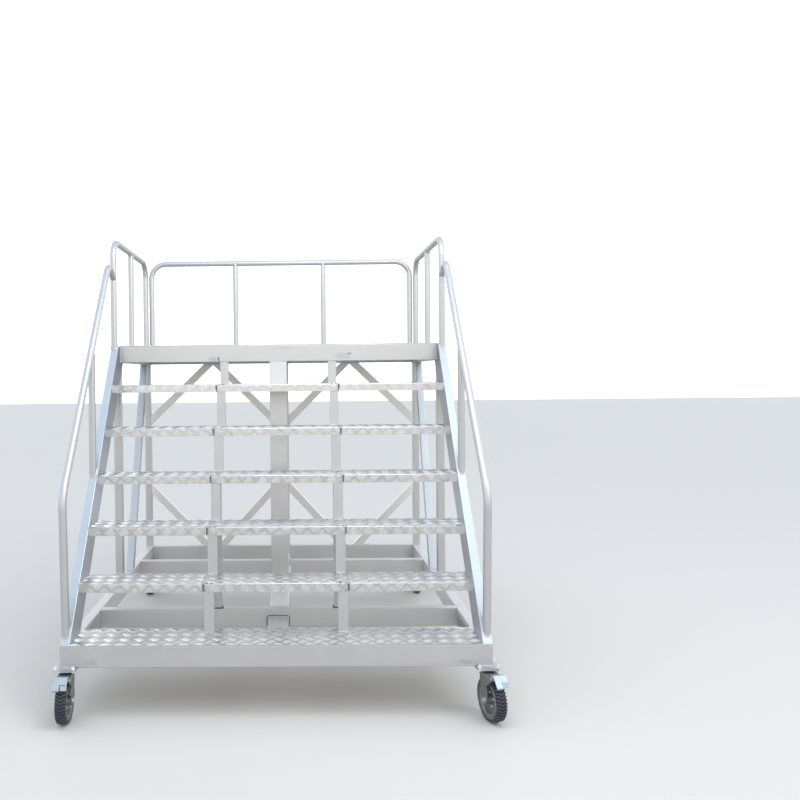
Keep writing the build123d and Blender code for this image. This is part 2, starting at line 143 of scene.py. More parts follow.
def buildSootAndShadePatch():
    # a speckled mark round the centre, full at the core and gone at the edge of its reach; it draws soot, and
    # with a coarse grain painted shade
    group, given, put = newGroup(
        "sootAndShadePatch",
        [("Vector", "Vector", None), ("Centre", "Vector", (0, 0, 0)), ("Reach", "Vector", (0.1, 0.1, 0.1)),
         ("Grain", "Float", 120.0), ("Amount", "Float", 0.5)],
        [("Mask", "Float")])
    link = group.links.new
    offset = addNode(group, "ShaderNodeVectorMath", operation="SUBTRACT")
    link(given.outputs["Vector"], offset.inputs[0])
    link(given.outputs["Centre"], offset.inputs[1])
    ratio = addNode(group, "ShaderNodeVectorMath", operation="DIVIDE")
    link(offset.outputs[0], ratio.inputs[0])
    link(given.outputs["Reach"], ratio.inputs[1])
    away = addNode(group, "ShaderNodeVectorMath", operation="LENGTH")
    link(ratio.outputs[0], away.inputs[0])
    fade = addNode(group, "ShaderNodeMapRange",
                   {"From Min": sootAndShadeSizes["edge"], "From Max": sootAndShadeSizes["core"]},
                   interpolation_type="SMOOTHSTEP")
    link(away.outputs["Value"], fade.inputs["Value"])
    grain = addNode(group, "ShaderNodeTexNoise", {"Detail": 4.0, "Roughness": 0.65})
    link(given.outputs["Vector"], grain.inputs["Vector"])
    link(given.outputs["Grain"], grain.inputs["Scale"])
    specks = addNode(group, "ShaderNodeMapRange",
                     {"From Min": sootAndShadeSizes["speckLow"], "From Max": sootAndShadeSizes["speckHigh"]})
    link(grain.outputs["Fac"], specks.inputs["Value"])
    mask = mathNode(group, "MULTIPLY", fade.outputs["Result"], specks.outputs["Result"])
    link(mathNode(group, "MULTIPLY", mask, given.outputs["Amount"], True), put.inputs["Mask"])
    return group


def buildInnerShade():
    # painted shade on the walls that face the middle, growing from the low height up to the high one
    group, given, put = newGroup(
        "innerPaintedShade",
        [("Vector", "Vector", None), ("Normal", "Vector", None), ("Low", "Float", 0.9),
         ("High", "Float", 1.5), ("Amount", "Float", 0.8)],
        [("Mask", "Float")])
    link = group.links.new
    place = addNode(group, "ShaderNodeSeparateXYZ")
    facing = addNode(group, "ShaderNodeSeparateXYZ")
    link(given.outputs["Vector"], place.inputs[0])
    link(given.outputs["Normal"], facing.inputs[0])
    side = mathNode(group, "SIGN", place.outputs["X"])
    inward = mathNode(group, "MULTIPLY", mathNode(group, "MULTIPLY", side, facing.outputs["X"]), -1.0, True)
    rise = addNode(group, "ShaderNodeMapRange", interpolation_type="SMOOTHSTEP")
    link(place.outputs["Z"], rise.inputs["Value"])
    link(given.outputs["Low"], rise.inputs["From Min"])
    link(given.outputs["High"], rise.inputs["From Max"])
    mask = mathNode(group, "MULTIPLY", inward, rise.outputs["Result"])
    link(mathNode(group, "MULTIPLY", mask, given.outputs["Amount"], True), put.inputs["Mask"])
    return group


drawnMetal = buildDrawnMetal()
sootAndShadePatch = buildSootAndShadePatch()
innerPaintedShade = buildInnerShade()


# materials

def newMaterial(name, base, metallic, roughness):
    material = bpy.data.materials.new(name)
    material.use_nodes = True
    material.diffuse_color = (*base, 1)
    shader = material.node_tree.nodes["Principled BSDF"]
    shader.inputs["Base Color"].default_value = (*base, 1)
    shader.inputs["Metallic"].default_value = metallic
    shader.inputs["Roughness"].default_value = roughness
    return material, material.node_tree, shader


lineDepth = 0.3 * mm


def drawnMaterial(name, look, turn=(0, 0, 0)):
    # metal with its lines along x, or turned to run along the part
    material, tree, shader = newMaterial(name, look["colour"], look["metallic"], look["roughness"])
    link = tree.links.new
    place = addNode(tree, "ShaderNodeTexCoord")
    aim = addNode(tree, "ShaderNodeMapping", vector_type="POINT")
    aim.inputs["Rotation"].default_value = turn
    link(place.outputs["Object"], aim.inputs["Vector"])
    grain = addNode(tree, "ShaderNodeGroup")
    grain.node_tree = drawnMetal
    grain.inputs["Colour"].default_value = (*look["colour"], 1)
    grain.inputs["Stain Colour"].default_value = (*look["stain"], 1)
    for key in ("Line Scale", "Cloud Scale", "Line Amount", "Cloud Amount"):
        grain.inputs[key].default_value = look[key]
    grain.inputs["Roughness"].default_value = look["roughness"]
    link(aim.outputs["Vector"], grain.inputs["Vector"])
    link(grain.outputs["Colour"], shader.inputs["Base Color"])
    link(grain.outputs["Roughness"], shader.inputs["Roughness"])
    bump = addNode(tree, "ShaderNodeBump", {"Strength": look["bump"], "Distance": lineDepth})
    link(grain.outputs["Height"], bump.inputs["Height"])
    link(bump.outputs["Normal"], shader.inputs["Normal"])
    return material


def coverColour(material, mask, colour):
    # lays the colour over the base colour where the mask is
    tree = material.node_tree
    base = tree.nodes["Principled BSDF"].inputs["Base Color"]
    tree.links.new(mixColour(tree, mask, base.links[0].from_socket, (*colour, 1)), base)


def addSootAndShade(material, patches):
    # lays each patch over the base colour: soot marks, and patches of painted shade
    tree = material.node_tree
    place = addNode(tree, "ShaderNodeTexCoord")
    for patch in patches:
        node = addNode(tree, "ShaderNodeGroup")
        node.node_tree = sootAndShadePatch
        tree.links.new(place.outputs["Object"], node.inputs["Vector"])
        for key in ("Centre", "Reach", "Grain", "Amount"):
            node.inputs[key].default_value = patch[key]
        coverColour(material, node.outputs["Mask"], patch["colour"])


def addInnerShade(material, look):
    # lays the painted shade of the inward walls over the base colour
    tree = material.node_tree
    node = addNode(tree, "ShaderNodeGroup")
    node.node_tree = innerPaintedShade
    tree.links.new(addNode(tree, "ShaderNodeTexCoord").outputs["Object"], node.inputs["Vector"])
    tree.links.new(addNode(tree, "ShaderNodeNewGeometry").outputs["Normal"], node.inputs["Normal"])
    for key in ("Low", "High", "Amount"):
        node.inputs[key].default_value = look[key]
    coverColour(material, node.outputs["Mask"], look["colour"])


tubeLook = {"colour": (0.495, 0.495, 0.49), "stain": (0.40, 0.39, 0.38), "metallic": 0.85, "roughness": 0.42,
            "Line Scale": 420.0, "Cloud Scale": 4.0, "Line Amount": 0.10, "Cloud Amount": 0.16, "bump": 0.12}
# lighter, much less metallic copy of the tube metal: painted light on the centre beam in the shade under the
# treads
centreLitLook = dict(tubeLook, colour=(0.80, 0.80, 0.78), metallic=0.3)
# lighter, less metallic copy of the tube metal: painted light on the members in shade under the stair
underStairLitLook = dict(tubeLook, colour=(0.60, 0.595, 0.585), metallic=0.75)
# lighter, less metallic copy of the tube metal: painted light on the side beams
sideLitLook = dict(tubeLook, colour=(0.66, 0.66, 0.655), metallic=0.65)
# lighter, warmer, less metallic copy of the tube metal: painted light on the braces shaded by platform and
# treads
braceLitLook = dict(tubeLook, colour=(0.70, 0.685, 0.66), metallic=0.6)
# blue-tinted copy of the tube metal: painted reflection of the pale sky on the stringers
stringerSkyTintLook = dict(tubeLook, colour=(0.455, 0.485, 0.515))
weldLook = dict(tubeLook, colour=(0.5, 0.5, 0.5), metallic=0.8, roughness=0.35)
sootLook = dict(weldLook, colour=(0.07, 0.075, 0.07), stain=(0.3, 0.3, 0.3), metallic=0.4, roughness=0.6)
plateLook = {"colour": (0.51, 0.505, 0.495), "stain": (0.36, 0.36, 0.36), "metallic": 0.92, "roughness": 0.27,
             "Line Scale": 260.0, "Cloud Scale": 14.0, "Line Amount": 0.10, "Cloud Amount": 0.22,
             "bump": 0.10}
# lighter copy of the plate metal for the raised bars: painted highlight on the chequer pattern
barHighlightLook = dict(plateLook, colour=(0.74, 0.735, 0.725), stain=(0.6, 0.6, 0.6), roughness=0.22)
# lighter, warmer, less metallic copy of the plate metal: painted light on the treads' front lips
lipLitLook = dict(plateLook, colour=(0.80, 0.78, 0.755), stain=(0.68, 0.67, 0.65), metallic=0.65, roughness=0.25)
railLook = {"colour": (0.46, 0.46, 0.465), "stain": (0.38, 0.38, 0.38), "metallic": 0.85, "roughness": 0.47,
            "Line Scale": 380.0, "Cloud Scale": 5.0, "Line Amount": 0.08, "Cloud Amount": 0.12, "bump": 0.08}
zincLook = {"colour": (0.66, 0.69, 0.72), "stain": (0.5, 0.52, 0.5), "metallic": 0.85, "roughness": 0.34,
            "Line Scale": 300.0, "Cloud Scale": 30.0, "Line Amount": 0.06, "Cloud Amount": 0.2, "bump": 0.06}
# darker copy of the zinc: painted shade and dark reflection on the fork legs under the stair
forkDarkReflectLook = dict(zincLook, colour=(0.27, 0.285, 0.275), stain=(0.17, 0.18, 0.17), roughness=0.42)
pedalLook = dict(zincLook, colour=(0.38, 0.43, 0.475), roughness=0.5)

# dark blue-grey painted shade on the stringers' inward walls, deepest up under the platform
innerShadeLook = {"Low": 0.85, "High": 1.5, "Amount": 0.85, "colour": (0.14, 0.17, 0.19)}
sootPatches = [dict(zip(("Centre", "Reach", "Grain", "Amount", "colour"), row)) for row in (
    ((-0.389, 0.104, 1.684), (0.042, 0.03, 0.024), 160.0, 0.5, (0.22, 0.23, 0.22)),
    ((-0.359, 0.104, 1.686), (0.007, 0.03, 0.022), 90.0, 1.0, (0.10, 0.10, 0.10)),
    ((0.388, 0.104, 1.698), (0.066, 0.03, 0.026), 160.0, 0.45, (0.22, 0.23, 0.22)),
    ((0.430, 0.104, 1.712), (0.020, 0.03, 0.008), 90.0, 1.0, (0.07, 0.07, 0.07)),
    ((0.030, 0.104, 1.752), (0.09, 0.03, 0.014), 60.0, 0.3, (0.3, 0.3, 0.3)),
    ((0.870, -1.028, 0.262), (0.07, 0.03, 0.014), 80.0, 0.4, (0.25, 0.25, 0.25)),
    ((-0.860, -1.028, 0.266), (0.05, 0.03, 0.014), 90.0, 0.4, (0.25, 0.25, 0.25)))]
# painted shade on the side beams along the stringers' feet, with a coarse grain
footPaintedShade = [
    {"Centre": (side * 0.95, -0.70, 0.285), "Reach": (0.02, 0.36, 0.046), "Grain": 3.0, "Amount": 0.75,
     "colour": (0.26, 0.265, 0.27)} for side in (-1, 1)]

alongY = (0, 0, math.radians(90))
alongZ = (0, math.radians(90), 0)
tubeX = drawnMaterial("aluminiumTubeAcross", tubeLook)
tubeY = drawnMaterial("aluminiumTubeFrontToBack", tubeLook, alongY)
tubeZ = drawnMaterial("aluminiumTubeUpright", tubeLook, alongZ)
centreLitMetal = drawnMaterial("aluminiumCentreBeamPaintedLight", centreLitLook, alongY)
underStairLitX = drawnMaterial("tubeAcrossPaintedLight", underStairLitLook)
underStairLitZ = drawnMaterial("tubeUprightPaintedLight", underStairLitLook, alongZ)
sideLitShadeMetal = drawnMaterial("sideBeamTubePaintedLightAndShade", sideLitLook, alongY)
braceLitMetal = drawnMaterial("braceTubePaintedLight", braceLitLook, alongZ)
stringerPaintedSkyShadeMetal = drawnMaterial("stringerTubePaintedSkyAndShade", stringerSkyTintLook, alongZ)
plateMetal = drawnMaterial("chequerPlate", plateLook)
barHighlightMetal = drawnMaterial("chequerBarsPaintedHighlight", barHighlightLook)
lipLitMetal = drawnMaterial("chequerLipBarsPaintedLight", lipLitLook)
railMetal = drawnMaterial("railTube", railLook, alongZ)
zincSteel = drawnMaterial("zincPlatedSteel", zincLook)
forkPaintedShadeSteel = drawnMaterial("forkPaintedShadeSteel", forkDarkReflectLook)
pedalSteel = drawnMaterial("pedalSteel", pedalLook)
weldMetal = drawnMaterial("weldMetal", weldLook)
sootMetal = drawnMaterial("sootyWeld", sootLook)
addInnerShade(stringerPaintedSkyShadeMetal, innerShadeLook)
addSootAndShade(tubeX, sootPatches)
# painted shade on the side beams beside the stringers' feet
addSootAndShade(sideLitShadeMetal, footPaintedShade)


mottleSizes = {"dust": 0.06, "spread": 0.2, "bump": 0.5}


def mottledMaterial(name, look):
    # rubber or paint, mottled from its dark to its light tone
    material, tree, shader = newMaterial(name, look["light"], look["metallic"], look["roughness"])
    link = tree.links.new
    place = addNode(tree, "ShaderNodeTexCoord")
    grain = addNode(tree, "ShaderNodeTexNoise", {"Scale": look["grain"], "Detail": 5.0, "Roughness": 0.6})
    dust = addNode(tree, "ShaderNodeTexNoise",
                   {"Scale": look["grain"] * mottleSizes["dust"], "Detail": 4.0, "Roughness": 0.6})
    for node in (grain, dust):
        link(place.outputs["Object"], node.inputs["Vector"])
    link(mixColour(tree, dust.outputs["Fac"], (*look["dark"], 1), (*look["light"], 1)),
         shader.inputs["Base Color"])
    rough = mathNode(tree, "MULTIPLY", dust.outputs["Fac"], mottleSizes["spread"])
    rough = mathNode(tree, "ADD", rough, look["roughness"] - mottleSizes["spread"] / 2)
    link(rough, shader.inputs["Roughness"])
    bump = addNode(tree, "ShaderNodeBump", {"Strength": mottleSizes["bump"], "Distance": look["depth"]})
    link(grain.outputs["Fac"], bump.inputs["Height"])
    link(bump.outputs["Normal"], shader.inputs["Normal"])
    return material


tyreLook = {"light": (0.048, 0.056, 0.068), "dark": (0.028, 0.034, 0.042), "roughness": 0.6,
            "metallic": 0.0, "grain": 900.0, "depth": 0.0002}
# much darker copy of the tread rubber for the crown between the lugs: painted shade in the grooves
grooveShadeLook = dict(tyreLook, light=(0.011, 0.014, 0.019), dark=(0.006, 0.008, 0.011), roughness=0.7)
wallLook = dict(tyreLook, light=(0.135, 0.145, 0.148), dark=(0.080, 0.087, 0.092), roughness=0.7)
rimLook = {"light": (0.19, 0.20, 0.205), "dark": (0.11, 0.115, 0.12), "roughness": 0.45,
           "metallic": 0.3, "grain": 700.0, "depth": 0.00015}
ringLook = {"light": (0.29, 0.31, 0.31), "dark": (0.20, 0.215, 0.215), "roughness": 0.35,
            "metallic": 0.5, "grain": 600.0, "depth": 0.0001}
oilLook = {"light": (0.06, 0.075, 0.085), "dark": (0.02, 0.028, 0.032), "roughness": 0.4,
           "metallic": 0.6, "grain": 500.0, "depth": 0.0001}
tyreRubber = mottledMaterial("tyreRubber", tyreLook)
grooveShadeRubber = mottledMaterial("tyreGrooveRubberPaintedShade", grooveShadeLook)
wallRubber = mottledMaterial("tyreWallRubber", wallLook)
rimPaint = mottledMaterial("rimPaint", rimLook)
ringPaint = mottledMaterial("rimEdge", ringLook)
oilySteel = mottledMaterial("oilySteel", oilLook)

casterNames = ["front_left", "front_right", "rear_left", "rear_right"]


def onCasters(*parts):
    return [f"{part}_{caster}" for caster in casterNames for part in parts]


materialOf = {
    tubeX: ["front_beam", "platform_front_beam", "platform_rear_beam", "deck_joists"],
    underStairLitX: ["rear_beam", "cross_beams"],
    centreLitMetal: ["centre_beam"],
    tubeY: ["platform_side_beams", "tread_cleats", "seam_ribs"],
    sideLitShadeMetal: ["side_beams"],
    tubeZ: ["rear_posts", "side_posts", "tread_struts", "middle_struts", "corner_plates"],
    underStairLitZ: ["columns"],
    braceLitMetal: ["upper_braces", "lower_braces"],
    stringerPaintedSkyShadeMetal: ["stringers", "side_diagonals"],
    plateMetal: ["foot_tread", "treads", "deck_plate"],
    railMetal: ["rear_guard", "rear_balusters", "side_guards", "side_balusters", "handrails",
                "handrail_posts"],
    zincSteel: onCasters("caster_plate", "axle"),
    forkPaintedShadeSteel: onCasters("fork"),
    pedalSteel: onCasters("pedal"),
    rimPaint: onCasters("rim"),
    tyreRubber: onCasters("tyre"),
}
for material, names in materialOf.items():
    for name in names:
        nodes[name].data.materials.clear()
        nodes[name].data.materials.append(material)
print("materials on", sum(len(names) for names in materialOf.values()), "parts")


# meshes

def addPiece(name, verts, faces, material, body, smooth=False, matrix=None):
    mesh = bpy.data.meshes.new(name)
    mesh.from_pydata([tuple(v) for v in verts], [], faces)
    if matrix is not None:
        mesh.transform(matrix)
    if smooth:
        mesh.shade_smooth()
    piece = bpy.data.objects.new(name, mesh)
    bpy.context.scene.collection.objects.link(piece)
    mesh.materials.append(material)
    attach(piece, body)
    return piece


# chequer plate: groups of five raised bars, each group square to the next

barPattern = {"group": 51.6 * mm, "pitch": 8.8 * mm, "length": 43 * mm, "width": 4.8 * mm,
              "height": 1.3 * mm, "sunk": 0.4 * mm, "crest": 0.42, "tipWidth": 0.2, "tipHeight": 1.3,
              "edge": 1 * mm, "shortest": 0.25, "lipRise": 1.1, "drift": (0.0131, 0.0173),
              "lipDrift": 0.011, "footStart": (0.021, 0.006), "deckStart": (0.0, 0.015)}


def addBar(verts, faces, toPlate, middle, along, low, high, rise):
    # one lens-shaped bar: five sections of four points, closed at both ends
    across = Vector((-along.y, along.x))
    half, sunk, crest = barPattern["length"] / 2, barPattern["sunk"], barPattern["crest"]
    stations = [low + (high - low) * k / 4 for k in range(5)]
    start = len(verts)
    for t in stations:
        swell = math.sqrt(max(0.0, 1 - (t / half) ** 2))
        wide = barPattern["width"] / 2 * max(barPattern["tipWidth"], swell)
        tall = rise * min(1.0, barPattern["tipHeight"] * swell)
        at = middle + along * t
        for side, up in ((-1, -sunk), (-crest, tall), (crest, tall), (1, -sunk)):
            edge = at + across * (side * wide)
            verts.append(toPlate(edge.x, edge.y, up))
    for k in range(4):
        a, b = start + 4 * k, start + 4 * k + 4
        faces.extend([(a + n, b + n, b + (n + 1) % 4, a + (n + 1) % 4) for n in range(4)])
    faces.append((start, start + 1, start + 2, start + 3))
    faces.append((start + 19, start + 18, start + 17, start + 16))


def addBars(verts, faces, toPlate, size, offset, rise=barPattern["height"]):
    # fills a plate of this size with bars, each cut short at the plate's edge
    half, edge = barPattern["length"] / 2, barPattern["edge"]
    step = barPattern["group"] / math.sqrt(2)
    shift = [offset[axis] % (2 * step) for axis in (0, 1)]
    columns, rows = int(size[0] / step) + 3, int(size[1] / step) + 3
    for row in range(-2, rows):
        for column in range(-2, columns):
            if (row + column) % 2:
                continue
            centre = Vector((column * step + shift[0] - step, row * step + shift[1] - step))
            along = Vector((1, 1 if row % 2 else -1)).normalized()
            across = Vector((-along.y, along.x))
            for k in range(-2, 3):
                middle = centre + across * (k * barPattern["pitch"])
                low, high = -half, half
                for axis in (0, 1):
                    ends = sorted(((edge - middle[axis]) / along[axis],
                                   (size[axis] - edge - middle[axis]) / along[axis]))
                    low, high = max(low, ends[0]), min(high, ends[1])
                if high - low > barPattern["shortest"] * half:
                    addBar(verts, faces, toPlate, middle, along, low, high, rise)


treadSizes = {"count": 5, "lip": 42 * mm, "depth": 200 * mm, "headDepth": 245 * mm, "seam": 352 * mm,
              "gap": 2 * mm, "cleat": 42 * mm, "lipEnd": 5 * mm, "fold": 4 * mm}
treadLow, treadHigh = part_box("treads")
footLow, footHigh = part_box("foot_tread")
deckLow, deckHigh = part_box("deck_plate")
treadRise = (treadHigh.z - treadLow.z - treadSizes["lip"]) / (treadSizes["count"] - 1)
treadGoing = (treadHigh.y - treadSizes["headDepth"] - treadLow.y) / (treadSizes["count"] - 1)
plateSpans = [(treadLow.x, -treadSizes["seam"] - treadSizes["gap"]),
              (-treadSizes["seam"], treadSizes["seam"]),
              (treadSizes["seam"] + treadSizes["gap"], treadHigh.x)]


def treadNose(step):
    # the front edge and the top of a raised tread
    return treadLow.y + step * treadGoing, treadLow.z + treadSizes["lip"] + step * treadRise


def addTreadBars(step):
    verts, faces, lipVerts, lipFaces = [], [], [], []
    lip, fold = treadSizes["lip"], treadSizes["fold"]
    y, z = treadNose(step)
    depth = treadSizes["headDepth"] if step == treadSizes["count"] - 1 else treadSizes["depth"]
    for part, (left, right) in enumerate(plateSpans):
        offset = (barPattern["drift"][0] * (7 * step + 3 * part), barPattern["drift"][1] * (3 * step + part))
        addBars(verts, faces, lambda u, v, w: (left + u, y + fold + v, z + w),
                (right - left, depth - fold), offset)
        lipLeft = left + (treadSizes["cleat"] if part == 0 else treadSizes["lipEnd"])
        lipRight = right - (treadSizes["cleat"] if part == 2 else treadSizes["lipEnd"])
        addBars(lipVerts, lipFaces, lambda u, v, w: (lipLeft + u, y - w, z - lip + v),
                (lipRight - lipLeft, lip - fold), (offset[0] + barPattern["lipDrift"], offset[1]),
                barPattern["lipRise"] * barPattern["height"])
    addPiece(f"treadBars_{step + 1}", verts, faces, barHighlightMetal, "frame")
    addPiece(f"lipBars_{step + 1}", lipVerts, lipFaces, lipLitMetal, "frame")


def addFlatBars(name, low, high, offset):
    verts, faces = [], []
    addBars(verts, faces, lambda u, v, w: (low.x + u, low.y + v, high.z + w),
            (high.x - low.x, high.y - low.y), offset)
    addPiece(name, verts, faces, barHighlightMetal, "frame")


for step in range(treadSizes["count"]):
    addTreadBars(step)
addFlatBars("treadBars_foot", footLow, footHigh, barPattern["footStart"])
addFlatBars("deckBars", deckLow, deckHigh, barPattern["deckStart"])
print("chequer plate bars made")


# casters: lugged tyres, rim bolts and nuts, races and plate bolts

joints = {joint["name"]: joint for joint in frame["joints"]}


def wheelPlace(caster):
    axis = joints[f"wheel_{caster}"]["axis"]
    return (Matrix.Translation(joints[f"wheel_{caster}"]["pos_m"])
            @ Matrix.Rotation(math.atan2(axis[1], axis[0]), 4, "Z"))


def addRing(verts, faces, profile, segments, centre=Vector((0, 0, 0)), axis="X"):
    # a closed profile of (along the axis, radius) points, turned about the axis
    start, count = len(verts), len(profile)
    for k in range(segments):
        angle = 2 * math.pi * k / segments
        c, s = math.cos(angle), math.sin(angle)
        for along, radius in profile:
            point = (along, radius * c, radius * s) if axis == "X" else (radius * c, radius * s, along)
            verts.append(centre + Vector(point))
    for k in range(segments):
        here, there = start + k * count, start + (k + 1) % segments * count
        for n in range(count):
            m = (n + 1) % count
            faces.append((here + n, here + m, there + m, there + n))


hexShape = {"chamfer": 0.12, "end": 0.86}


def addHex(verts, faces, centre, low, high, across, axis="Z", rounds=6):
    # a prism along the axis with a small chamfer at its far end
    start = len(verts)
    radius = across / math.sqrt(3) if rounds == 6 else across / 2
    cut = hexShape["chamfer"] * across * (1 if high > low else -1)
    for along, reach in ((low, radius), (high - cut, radius), (high, radius * hexShape["end"])):
        for k in range(rounds):
            angle = 2 * math.pi * (k + 0.5) / rounds
            u, v = reach * math.cos(angle), reach * math.sin(angle)
            verts.append(Vector(centre) + Vector((u, v, along) if axis == "Z" else (along, u, v)))
    for ring in (0, 1):
        for k in range(rounds):
            a, b = start + ring * rounds + k, start + ring * rounds + (k + 1) % rounds
            faces.append((a, b, b + rounds, a + rounds))
    faces.append(tuple(start + k for k in reversed(range(rounds))))
    faces.append(tuple(start + 2 * rounds + k for k in range(rounds)))


tyreShape = {"half": 25 * mm, "crown": 100 * mm, "base": 94.5 * mm, "bead": 72 * mm, "segments": 80,
             "wallFrom": 4}
# the section from the tread's middle to the bead: share of half the width, then mm from base or bead
crownSection = [(0.5, 0.3), (0.78, 1.2), (0.93, 4), (0.985, 9)]
wallSection = [(0.96, 10), (0.86, 3.5), (0.76, 0.6), (0.72, -1.5)]
lugShape = {"count": 40, "width": 8.6 * mm, "lean": 9 * mm, "bend": 0.62, "bendSlope": 1.6,
            "endShift": 0.008, "endSlope": 0.35, "camber": 1.4 * mm, "endDrop": 3.2 * mm, "widen": 0.08,
            "top": 0.78, "root": 3 * mm, "shoulder": 0.8, "shoulderRoot": 6 * mm, "reach": 0.995,
            "stations": [-1.0, -0.9, -0.62, -0.3, 0.0, 0.3, 0.62, 0.9, 1.0]}


def addLug(verts, faces, turn):
    # one chevron lug across the tread, four points at each station
    half, base, crown = tyreShape["half"], tyreShape["base"], tyreShape["crown"]
    bend, stations = lugShape["bend"], lugShape["stations"]
    start = len(verts)
    for t in stations:
        bent = 1 - abs(t) * lugShape["bendSlope"]
        straight = lugShape["endShift"] + (abs(t) - bend) * lugShape["endSlope"]
        shift = lugShape["lean"] * (bent if abs(t) < bend else straight)
        top = crown - lugShape["camber"] * t * t - (lugShape["endDrop"] if abs(t) == 1.0 else 0)
        wide = lugShape["width"] * (0.5 + lugShape["widen"] * abs(t))
        root = base - lugShape["root"] - lugShape["shoulderRoot"] * (abs(t) > lugShape["shoulder"])
        crest = lugShape["top"] * wide
        for reach, radius in ((-wide, root), (-crest, top), (crest, top), (wide, root)):
            angle = turn + (shift + reach) / crown
            y, z = radius * math.cos(angle), radius * math.sin(angle)
            verts.append(Vector((t * half * lugShape["reach"], y, z)))
    for k in range(len(stations) - 1):
        a, b = start + 4 * k, start + 4 * k + 4
        faces.extend([(a + n, a + (n + 1) % 4, b + (n + 1) % 4, b + n) for n in range(4)])
    faces.append((start, start + 3, start + 2, start + 1))
    faces.append(tuple(start + 4 * (len(stations) - 1) + n for n in range(4)))


def addTyre(caster):
    half, base, bead = tyreShape["half"], tyreShape["base"], tyreShape["bead"]
    side = [(0.0, base)] + [(share * half, base - drop * mm) for share, drop in crownSection]
    side += [(share * half, bead + rise * mm) for share, rise in wallSection]
    profile = side + [(-along, radius) for along, radius in reversed(side[1:])]
    verts, faces = [], []
    addRing(verts, faces, profile, tyreShape["segments"])
    for lug in range(lugShape["count"]):
        addLug(verts, faces, 2 * math.pi * lug / lugShape["count"])
    piece = addPiece(f"tread_{caster}", verts, faces, tyreRubber, f"wheel_{caster}",
                     matrix=wheelPlace(caster))
    for rubber in (wallRubber, grooveShadeRubber):
        piece.data.materials.append(rubber)
    wallSpan = range(tyreShape["wallFrom"], len(profile) - tyreShape["wallFrom"])
    # the sidewalls take the wall rubber, and the crown between the lugs the groove rubber with its painted
    # shade
    for face in piece.data.polygons[:tyreShape["segments"] * len(profile)]:
        face.material_index = 1 if face.index % len(profile) in wallSpan else 2
    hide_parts(f"tyre_{caster}")


rimShape = {"ringAt": 20 * mm, "ring": 72 * mm, "segments": 72, "web": 7 * mm, "bolts": 5,
            "boltCircle": 32 * mm, "nutSunk": 0.5 * mm, "nutEnd": 5.5 * mm, "nutAcross": 10 * mm,
            "studStart": 5 * mm, "studEnd": 8.5 * mm, "studAcross": 5.4 * mm, "studRounds": 12}
# the rolled edge's section in mm, outward from the ring's place and from its radius
rimEdge = [(-2.5, -5), (0.6, -5), (2.2, -3), (2.6, -0.5), (1.2, 0.9), (-1, 0.6), (-2.5, -1.5)]


def addRimTrim(caster):
    verts, faces = [], []
    for side in (-1, 1):
        at, ring = side * rimShape["ringAt"], rimShape["ring"]
        profile = [(at + side * x * mm, ring + r * mm) for x, r in rimEdge]
        addRing(verts, faces, profile if side == 1 else profile[::-1], rimShape["segments"])
    addPiece(f"rimRings_{caster}", verts, faces, ringPaint, f"wheel_{caster}", True,
             wheelPlace(caster))
    verts, faces = [], []
    for k in range(rimShape["bolts"]):
        angle = 2 * math.pi * (k + 0.25) / rimShape["bolts"]
        at = (0, rimShape["boltCircle"] * math.cos(angle), rimShape["boltCircle"] * math.sin(angle))
        for side in (-1, 1):
            low = side * rimShape["web"]
            addHex(verts, faces, at, low - side * rimShape["nutSunk"], low + side * rimShape["nutEnd"],
                   rimShape["nutAcross"], "X")
            addHex(verts, faces, at, low + side * rimShape["studStart"], low + side * rimShape["studEnd"],
                   rimShape["studAcross"], "X", rimShape["studRounds"])
    addPiece(f"rimBolts_{caster}", verts, faces, zincSteel, f"wheel_{caster}",
             matrix=wheelPlace(caster))


plateBolts = {"spread": 41 * mm, "plate": 6 * mm, "sunk": 0.3 * mm, "washer": 20 * mm, "washerRounds": 20,
              "washerTop": 1.8 * mm, "nutFrom": 1.5 * mm, "across": 15 * mm, "nut": 7 * mm, "head": 5 * mm,
              "thread": 9 * mm, "threadRounds": 14, "stub": 6 * mm}


def addPlateBolts(caster):
    # washer, nut and thread above each hole, and the bolt's head below
    low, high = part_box(f"caster_plate_{caster}")
    centre = (Vector(low) + Vector(high)) / 2
    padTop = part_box("corner_plates")[1].z
    washerTop, nut, across = padTop + plateBolts["washerTop"], plateBolts["nut"], plateBolts["across"]
    threadTop = padTop + plateBolts["nutFrom"] + nut + plateBolts["stub"]
    under = high.z - plateBolts["plate"]
    verts, faces = [], []
    for x in (-1, 1):
        for y in (-1, 1):
            at = (centre.x + x * plateBolts["spread"], centre.y + y * plateBolts["spread"], 0)
            addHex(verts, faces, at, padTop - plateBolts["sunk"], washerTop, plateBolts["washer"], "Z",
                   plateBolts["washerRounds"])
            addHex(verts, faces, at, padTop + plateBolts["nutFrom"], washerTop + nut, across)
            addHex(verts, faces, at, padTop + nut, threadTop, plateBolts["thread"], "Z",
                   plateBolts["threadRounds"])
            addHex(verts, faces, at, under + plateBolts["sunk"], under - plateBolts["head"], across)
    addPiece(f"plateBolts_{caster}", verts, faces, zincSteel, "frame")


raceShape = {"radius": 31 * mm, "low": 219.6 * mm, "high": 228.6 * mm, "bore": 0.5 * mm, "upper": 3 * mm,
             "upperRim": 4 * mm, "lower": 5 * mm, "groove": 1.2 * mm, "grooveHalf": 0.5 * mm,
             "rimHalf": 1 * mm, "segments": 48}


